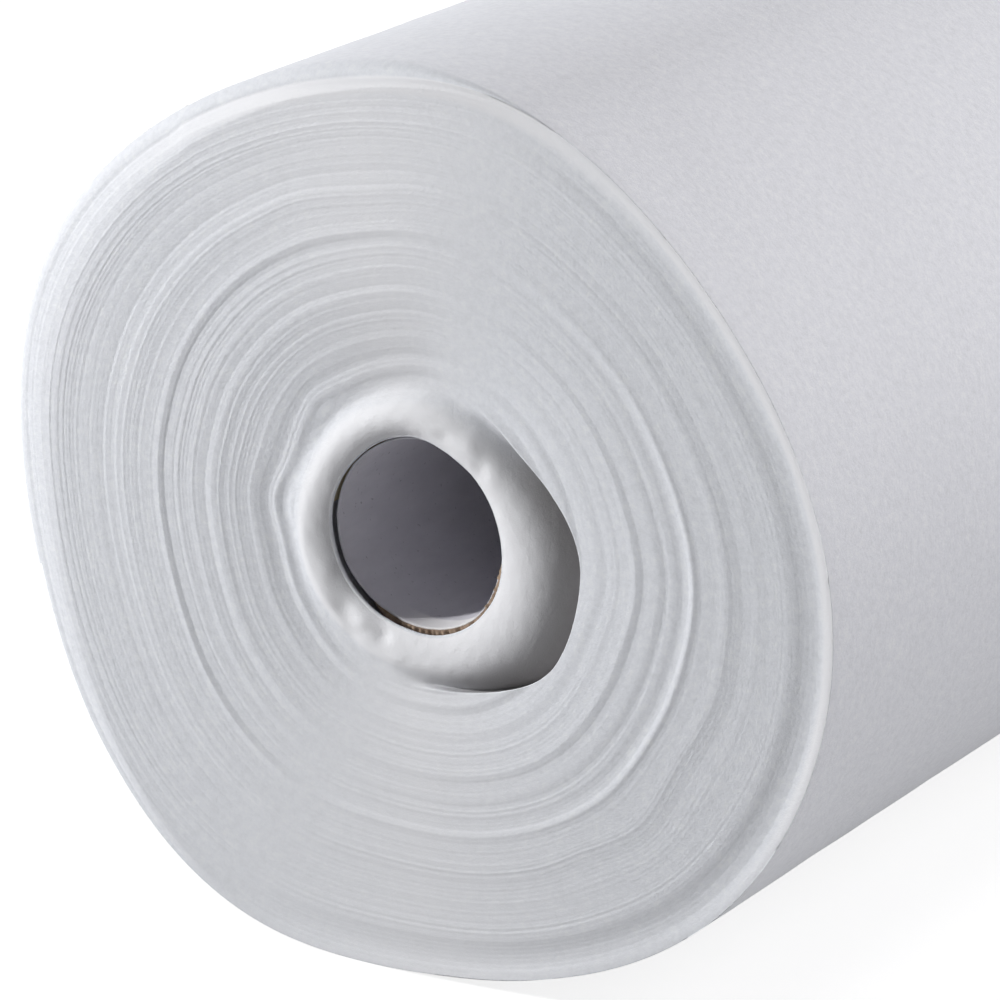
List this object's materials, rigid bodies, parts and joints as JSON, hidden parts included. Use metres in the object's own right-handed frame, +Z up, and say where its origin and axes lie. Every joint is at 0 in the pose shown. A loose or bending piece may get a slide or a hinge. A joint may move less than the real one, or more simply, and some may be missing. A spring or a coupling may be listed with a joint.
{
  "type": "roll of crop cover fabric",
  "caption": "Roll of soft white crop cover fleece wound on a thin paper core, lying on its side, with a free outer end that peels off.",
  "frame": {"origin": "middle of the roll's box in X and Y, on the surface the roll lies on", "axes": "+Y along the roll's axis, from the end with the hollow round its core to the other; +Z up; the free outer end of the web is on the -X side"},
  "size_m": [0.1884, 0.7573, 0.1814],
  "materials": {
    "fleece": "soft matt spunbond fibre, white with a cool tint",
    "grey_board": "matt grey paper with fine specks",
    "kraft_board": "matt brown kraft paper, torn at the rim",
    "adhesive_strip": "thin double-sided adhesive tape"
  },
  "bodies": {
    "roll": {"core_liner_ply": "grey_board", "core_body_ply": "kraft_board", "core_start_tape": "adhesive_strip", "wound_web": "fleece"},
    "tail_1": {"web_tail_1": "fleece"},
    "tail_2": {"web_tail_2": "fleece"},
    "tail_3": {"web_tail_3": "fleece"}
  },
  "joints": [
    {"name": "tail_lift", "type": "hinge", "parent": "roll", "child": "tail_1", "pos_m": [-0.05665, 0, 0.16313], "axis": [0, 1, 0], "range_deg": [0, 100]},
    {"name": "tail_unbend_1", "type": "hinge", "parent": "tail_1", "child": "tail_2", "pos_m": [-0.0831, 0, 0.13735], "axis": [0, 1, 0], "range_deg": [0, 22]},
    {"name": "tail_unbend_2", "type": "hinge", "parent": "tail_2", "child": "tail_3", "pos_m": [-0.09414, 0, 0.10189], "axis": [0, 1, 0], "range_deg": [0, 22]}
  ],
  "couplings": [
    {"joint": "tail_unbend_1", "follows": "tail_lift", "ratio": 0.22},
    {"joint": "tail_unbend_2", "follows": "tail_lift", "ratio": 0.22}
  ]
}
